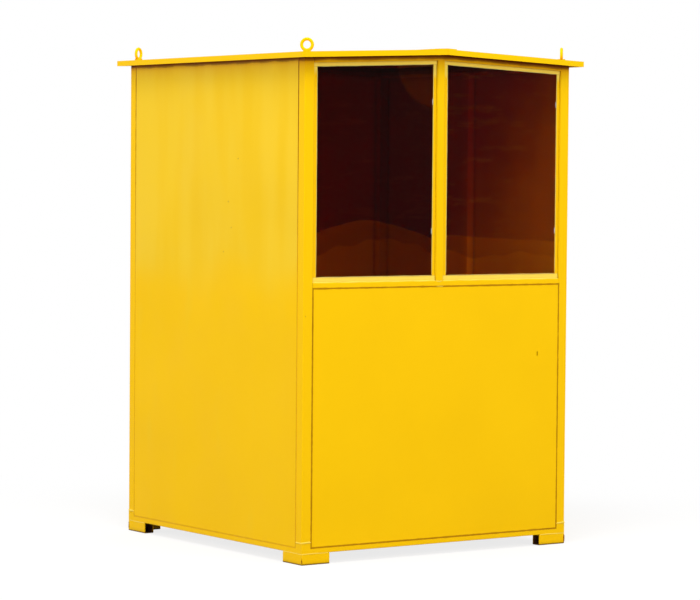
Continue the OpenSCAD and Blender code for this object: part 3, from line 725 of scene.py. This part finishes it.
class CABIN_OT_weld_beads(bpy.types.Operator):
    """Lay the weld beads at the posts' feet, along the sill, round the mullion and at the corners"""
    bl_idname = "cabin.weld_beads"
    bl_label = "Lay the weld beads"

    def execute(self, context):
        sizes = context.scene.cabin_sizes
        # The beads wear the paler yellow that paints a highlight on them.
        material = bpy.data.materials["highlight_yellow"]
        post_low, post_high = node_box("post_front_left")
        sill_low, sill_high = node_box("sill_rail")
        mullion_low, mullion_high = node_box("mullion")
        foot_low, foot_high = node_box("foot_front_left")
        radius = sizes.weld

        def post_feet(bm):
            for sx, sy in corner_signs():
                outer = Vector((sx * -post_low.x, sy * -post_low.y, post_low.z))
                inner = Vector((sx * -post_high.x, sy * -post_high.y, post_low.z))
                inset = radius * 0.45
                corner = outer - Vector((sx, sy, 0)) * inset
                start = Vector((inner.x, corner.y, corner.z))
                end = Vector((corner.x, inner.y, corner.z))
                bead(bm, [start, corner, end], radius, 0.3, 0.007, 10, sx + 2 * sy)

        def sill(bm):
            y = sill_low.y + sizes.sill_weld * 1.3
            z = sill_high.z + sizes.sill_weld * 0.2
            left = mullion_low.x
            right = mullion_high.x
            bead(bm, [Vector((sill_low.x, y, z)), Vector((left, y, z))],
                 sizes.sill_weld, 0.35, 0.008, 10, 1.0)
            bead(bm, [Vector((right, y, z)), Vector((sill_high.x, y, z))],
                 sizes.sill_weld, 0.35, 0.008, 10, 2.0)
            foot = sizes.sill_weld * 0.9
            dip = z - 4 * MM
            bead(bm, [Vector((left, y - 2 * MM, z)), Vector((0, y - 2.5 * MM, dip)),
                      Vector((right, y - 2 * MM, z))], foot, 0.4, 0.006, 10, 3.0)

        def foot_seams(bm):
            for sx, sy in corner_signs():
                x = sx * -(foot_low.x + 1.6 * MM)
                y = sy * -(foot_low.y + 1.6 * MM)
                low = foot_low.z + 6 * MM
                bead(bm, [Vector((x, y, low)), Vector((x, y, foot_high.z - 6 * MM))],
                     2.6 * MM, 0.5, 0.005, 8, sx * 1.3 + sy)
                bead(bm, [Vector((x, y, low + 5 * MM)), Vector((x, y, low + 19 * MM))],
                     3.6 * MM, 0.4, 0.006, 8, sx * 0.3 + sy)

        def foot_tops(bm):
            for sx, sy in corner_signs():
                x = sx * -(foot_low.x + 1.5 * MM)
                y = sy * -(foot_low.y + 1.5 * MM)
                z = foot_high.z
                bead(bm, [Vector((x, y, z + 3 * MM)), Vector((x, y, post_low.z - 4 * MM))],
                     1.6 * MM, 0.35, 0.005, 8, sx + sy * 0.7)
                reach_x = sx * -(foot_high.x - 2 * MM)
                reach_y = sy * -(foot_high.y - 2 * MM)
                bead(bm, [Vector((reach_x, y, z)), Vector((x, y, z)), Vector((x, reach_y, z))],
                     2.3 * MM, 0.3, 0.008, 8, sx * 0.6 + sy)

        def groove_fill(bm):
            z = sill_low.z + 25 * MM
            y = sill_low.y + 1.6 * MM
            bead(bm, [Vector((mullion_low.x - 2 * MM, y, z)), Vector((mullion_high.x + 3 * MM, y, z))],
                 2.2 * MM, 0.3, 0.006, 8, 5.0)

        add_mesh("post_foot_welds", post_feet, material)
        add_mesh("sill_welds", sill, material)
        add_mesh("foot_seam_welds", foot_seams, bpy.data.materials["seam_paint"])
        add_mesh("foot_top_welds", foot_tops, material)
        add_mesh("mullion_groove_weld", groove_fill, material)
        return {"FINISHED"}


class CABIN_OT_joint_runs(bpy.types.Operator):
    """Let the paint run into the joints round the sheets and beside the glazing beads"""
    bl_idname = "cabin.joint_runs"
    bl_label = "Fill the sheets' joints"

    def execute(self, context):
        sheets = {name: node_box("sheet_" + name) for name in ("front", "left", "right")}
        depth = 1.5 * MM
        radius = 1.5 * MM

        def runs(bm):
            for name, (low, high) in sheets.items():
                along = 0 if name == "front" else 1
                through = 1 - along
                face = {"front": low.y + depth, "left": low.x + depth, "right": high.x - depth}[name]
                gap = 0.7 * MM
                corners = ((low[along] - gap, low.z - gap), (high[along] + gap, low.z - gap),
                           (high[along] + gap, high.z), (low[along] - gap, high.z))
                points = []
                for across, z in corners:
                    point = Vector((0, 0, z))
                    point[along] = across
                    point[through] = face
                    points.append(point)
                closing = 4 if name == "front" else 2
                pairs = [(points[3], points[0]), (points[0], points[1]), (points[1], points[2]),
                         (points[2], points[3])][:max(3, closing)]
                for k, (start, end) in enumerate(pairs):
                    bead(bm, [start, end], radius, 0.15, 0.02, 8, k + along)

        def rear_runs(bm):
            low, high = node_box("sheet_rear")
            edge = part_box("door_post")[1].x + 0.7 * MM
            far = high.x + 0.7 * MM
            y = high.y - depth
            foot = low.z - 0.7 * MM
            for x in (edge, far):
                bead(bm, [Vector((x, y, foot)), Vector((x, y, high.z))], radius, 0.15, 0.02, 8, x)
            bead(bm, [Vector((edge, y, foot)), Vector((far, y, foot))], radius, 0.15, 0.02, 8, 1.0)

        def bead_runs(bm):
            for side in ("left", "right"):
                low, high = node_box("window_beads_" + side)
                post_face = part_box("post_front_left")[0].y
                y = (low.y + post_face) / 2 + 2.2 * MM
                for x in (low.x + 0.6 * MM, high.x - 0.6 * MM):
                    top = high.z - (0.028 if abs(x) > 0.4 else 0.004)
                    bead(bm, [Vector((x, y, low.z + 2 * MM)), Vector((x, y, top))],
                         2.6 * MM, 0.12, 0.03, 8, x * 7)

        add_mesh("sheet_joint_runs", runs, bpy.data.materials["joint_filler"])
        add_mesh("rear_joint_runs", rear_runs, bpy.data.materials["joint_filler"])
        add_mesh("glazing_bead_runs", bead_runs, bpy.data.materials["tube_paint"])
        return {"FINISHED"}


class CABIN_OT_door_seal(bpy.types.Operator):
    """Run a round rubber seal inside the gap about the door"""
    bl_idname = "cabin.door_seal"
    bl_label = "Seal the door"

    def execute(self, context):
        low, high = node_box("door_leaf")
        y = low.y - 4 * MM
        gap = 1.5 * MM
        corners = [Vector((low.x - gap, y, low.z + 2 * MM)), Vector((low.x - gap, y, high.z + gap)),
                   Vector((high.x + gap, y, high.z + gap)), Vector((high.x + gap, y, low.z + 2 * MM))]

        def seal(bm):
            for k in range(4):
                bead(bm, [corners[k], corners[(k + 1) % 4]], 6 * MM, 0.06, 0.04, 12, k)

        add_mesh("door_seal", seal, bpy.data.materials["dark_handle"])
        return {"FINISHED"}


class CABIN_OT_paint_chips(bpy.types.Operator):
    """Put the few small chips and specks in the paint of the left wall and the near post"""
    bl_idname = "cabin.paint_chips"
    bl_label = "Chip the paint"

    def execute(self, context):
        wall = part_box("sheet_left")[0].x
        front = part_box("post_front_left")[0].y
        material, tree, shader = blank_material("chipped_paint")
        coords = tree.nodes.new("ShaderNodeTexCoord").outputs["Object"]
        rough = noise(tree, coords, 300, 2)
        tree.links.new(mix_colour(tree, rough, (0.30, 0.12, 0.004), (0.62, 0.33, 0.02)),
                       shader.inputs["Base Color"])
        tree.links.new(ramp(tree, rough, 0.3, 0.7, 0.5, 0.8), shader.inputs["Roughness"])
        bump(tree, shader, rough, 0.4, 0.0005)
        chips = (((wall, -0.210, 1.805), 3.0, 0), ((wall, -0.130, 1.608), 3.6, 0),
                 ((wall, -0.155, 1.489), 2.6, 0), ((wall, -0.090, 1.377), 2.8, 0),
                 ((-0.738, front, 1.108), 2.2, 1))

        def domes(bm):
            for place, size, axis in chips:
                grown = bmesh.ops.create_icosphere(bm, subdivisions=2, radius=size * MM)
                for k, vert in enumerate(grown["verts"]):
                    vert.co *= 1 + 0.18 * math.sin(k * 2.3 + size)
                    vert.co[axis] *= 0.14
                    vert.co += Vector(place)

        add_mesh("paint_chips", domes, material)
        return {"FINISHED"}


class CABIN_OT_tube_ends(bpy.types.Operator):
    """Line the open ends of the feet with their bare brown inside"""
    bl_idname = "cabin.tube_ends"
    bl_label = "Line the feet's open ends"

    def execute(self, context):
        material = rust_inside(context.scene.cabin_paint)
        wall = 4.05 * MM
        depth = 90 * MM

        def liner(bm):
            for name in ("front_left", "front_right", "rear_left", "rear_right"):
                low, high = node_box("foot_" + name)
                sx = -1 if high.x < 0 else 1
                sy = -1 if high.y < 0 else 1
                for axis in (0, 1):
                    mouth = (high if (sx, sy)[axis] < 0 else low)[axis]
                    inward = (sx, sy)[axis]
                    other = 1 - axis
                    outer = (low if (sx, sy)[other] < 0 else high)[other]
                    a = outer - (sx, sy)[other] * wall
                    b = outer - (sx, sy)[other] * (50 * MM - wall)
                    ends = (mouth + inward * 0.5 * MM, mouth + inward * depth)
                    rings = []
                    for along in ends:
                        ring = []
                        for across, z in ((a, wall), (b, wall), (b, high.z - wall), (a, high.z - wall)):
                            point = [0, 0, z]
                            point[axis] = along
                            point[other] = across
                            ring.append(bm.verts.new(point))
                        rings.append(ring)
                    for k in range(4):
                        bm.faces.new((rings[0][k], rings[0][(k + 1) % 4],
                                      rings[1][(k + 1) % 4], rings[1][k]))
                    bm.faces.new(rings[1])

        piece = add_mesh("foot_tube_liners", liner, material)
        for polygon in piece.data.polygons:
            polygon.use_smooth = False
        return {"FINISHED"}


class CABIN_OT_pane_seals(bpy.types.Operator):
    """Run a pale sealing line where the beads meet the panes and the frame"""
    bl_idname = "cabin.pane_seals"
    bl_label = "Seal the panes"

    def execute(self, context):
        paint = context.scene.cabin_paint
        material, tree, shader = blank_material("pane_seal")
        coords = tree.nodes.new("ShaderNodeTexCoord").outputs["Object"]
        smear = noise(tree, coords, 45, 3)
        tree.links.new(mix_colour(tree, smear, tuple(paint.seal), tuple(c * 0.8 for c in paint.seal)),
                       shader.inputs["Base Color"])
        tree.links.new(ramp(tree, smear, 0.3, 0.7, 0.35, 0.55), shader.inputs["Roughness"])
        bump(tree, shader, smear, 0.3, 0.0008)

        def seals(bm):
            for side in ("left", "right"):
                low, high = node_box("window_beads_" + side)
                glass_low, glass_high = node_box("window_glass_" + side)
                y = glass_low.y - 3.6 * MM
                inner = 20 * MM
                x0, x1 = low.x + inner, high.x - inner
                slope = 1 / 24
                top0 = high.z - 17 * MM - (slope * (x1 - x0 + inner) if side == "left" else slope * inner)
                top1 = high.z - 17 * MM - (slope * inner if side == "left" else slope * (x1 - x0 + inner))
                corners = [Vector((x0, y, low.z + 24 * MM)), Vector((x1, y, low.z + 24 * MM)),
                           Vector((x1, y, top1)), Vector((x0, y, top0))]
                for k in range(4):
                    bead(bm, [corners[k], corners[(k + 1) % 4]], 1.3 * MM, 0.2, 0.03, 8, k + x0)

        def clip_faces(bm):
            for side in ("left", "right"):
                low, high = node_box("window_beads_" + side)
                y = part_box("window_glass_" + side)[0].y - 2 * MM
                x = high.x - 23 * MM
                for z in (1.481, 2.070):
                    bead(bm, [Vector((x, y, z - 14 * MM)), Vector((x, y, z + 14 * MM))],
                         2.8 * MM, 0.1, 0.02, 12, z)

        add_mesh("pane_seals", seals, material)
        add_mesh("pane_clip_faces", clip_faces, bpy.data.materials["zinc_plate"])
        return {"FINISHED"}


class CABIN_OT_stage(bpy.types.Operator):
    """Pale floor, soft lights, sky and the camera"""
    bl_idname = "cabin.stage"
    bl_label = "Set the stage"

    def execute(self, context):
        scene = context.scene
        reach = scene.cabin_sizes.stage_reach
        mesh = bpy.data.meshes.new("stage_floor")
        mesh.from_pydata([(-reach, -reach, 0), (reach, -reach, 0), (reach, reach, 0),
                          (-reach, reach, 0)], [], [(0, 1, 2, 3)])
        floor = bpy.data.objects.new("stage_floor", mesh)
        floor.data.materials.append(stage_material())
        scene.collection.objects.link(floor)
        floor.location.z = LOW.z - 0.0005
        self.sky(scene)
        self.lamp(scene, "top_soft", (-3.0, -3.4, 8.5), (0, 0, 1.2), 4.0, 500)
        self.lamp(scene, "front_soft", (3.5, -12.0, 6.0), (0, 0, 1.1), 5.0, 600)
        self.lamp(scene, "left_soft", (-12.0, 2.0, 5.5), (0, 0, 1.1), 5.0, 510)
        self.lamp(scene, "rear_soft", (8.0, 9.5, 5.0), (0, 0, 1.1), 5.0, 300)
        self.camera(scene)
        scene.view_settings.view_transform = "Standard"
        return {"FINISHED"}

    @staticmethod
    def sky(scene):
        """White to the eye and in reflections, an even soft light otherwise."""
        world = bpy.data.worlds.new("soft_sky")
        scene.world = world
        world.use_nodes = True
        tree = world.node_tree
        background = tree.nodes["Background"]
        background.inputs["Color"].default_value = (1, 1, 1, 1)
        path = tree.nodes.new("ShaderNodeLightPath")
        seen = math_node(tree, "MAXIMUM", path.outputs["Is Camera Ray"],
                         math_node(tree, "MAXIMUM", path.outputs["Is Glossy Ray"],
                                   path.outputs["Is Transmission Ray"]))
        tree.links.new(ramp(tree, seen, 0, 1, 0.50, 1.0), background.inputs["Strength"])

    @staticmethod
    def lamp(scene, name, place, target, size, power):
        """Square soft lamp that looks at a point."""
        light = bpy.data.lights.new(name, "AREA")
        light.size = size
        light.energy = power
        lamp = bpy.data.objects.new(name, light)
        lamp.location = place
        lamp.rotation_euler = (Vector(target) - Vector(place)).to_track_quat("-Z", "Y").to_euler()
        lamp.visible_glossy = False
        scene.collection.objects.link(lamp)

    @staticmethod
    def camera(scene):
        """Long lens at eye height, off the front left corner."""
        yaw, pitch, roll = (math.radians(a) for a in (-35.051, -2.524, 0.465))
        forward = Vector((math.sin(-yaw) * math.cos(pitch), math.cos(yaw) * math.cos(pitch),
                          math.sin(pitch)))
        level = Vector((math.cos(yaw), math.sin(yaw), 0))
        above = level.cross(forward)
        right = math.cos(roll) * level + math.sin(roll) * above
        up = math.cos(roll) * above - math.sin(roll) * level
        data = bpy.data.cameras.new("camera")
        data.sensor_width = 36
        data.lens = 148.6
        data.clip_end = 200
        camera = bpy.data.objects.new("camera", data)
        turn = Matrix((right, up, -forward)).transposed().to_4x4()
        camera.matrix_world = Matrix.Translation((-7.9069, -11.3095, 1.7448)) @ turn
        scene.collection.objects.link(camera)
        scene.camera = camera


class CABIN_PT_panel(bpy.types.Panel):
    """Lists the steps that finish the cabin"""
    bl_idname = "CABIN_PT_panel"
    bl_label = "Steel Site Cabin"
    bl_space_type = "VIEW_3D"
    bl_region_type = "UI"
    bl_category = "Cabin"

    def draw(self, context):
        for group in (context.scene.cabin_paint, context.scene.cabin_sizes):
            for name in group.__annotations__:
                self.layout.prop(group, name)
        for step in STEPS:
            self.layout.operator(step.bl_idname)


STEPS = (CABIN_OT_finish_nodes, CABIN_OT_weld_beads, CABIN_OT_joint_runs, CABIN_OT_door_seal,
         CABIN_OT_paint_chips, CABIN_OT_tube_ends, CABIN_OT_pane_seals, CABIN_OT_stage)
CLASSES = (CabinPaint, CabinSizes, *STEPS, CABIN_PT_panel)


def register():
    """Register the classes and hang the settings on the scene."""
    for item in CLASSES:
        bpy.utils.register_class(item)
    bpy.types.Scene.cabin_paint = bpy.props.PointerProperty(type=CabinPaint)
    bpy.types.Scene.cabin_sizes = bpy.props.PointerProperty(type=CabinSizes)


def unregister():
    """Take the settings and the classes away again."""
    del bpy.types.Scene.cabin_sizes
    del bpy.types.Scene.cabin_paint
    for item in reversed(CLASSES):
        bpy.utils.unregister_class(item)


def main():
    """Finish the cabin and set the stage."""
    register()
    bpy.ops.cabin.finish_nodes()
    bpy.ops.cabin.weld_beads()
    bpy.ops.cabin.joint_runs()
    bpy.ops.cabin.door_seal()
    bpy.ops.cabin.paint_chips()
    bpy.ops.cabin.tube_ends()
    bpy.ops.cabin.pane_seals()
    bpy.ops.cabin.stage()


if __name__ == "__main__":
    main()
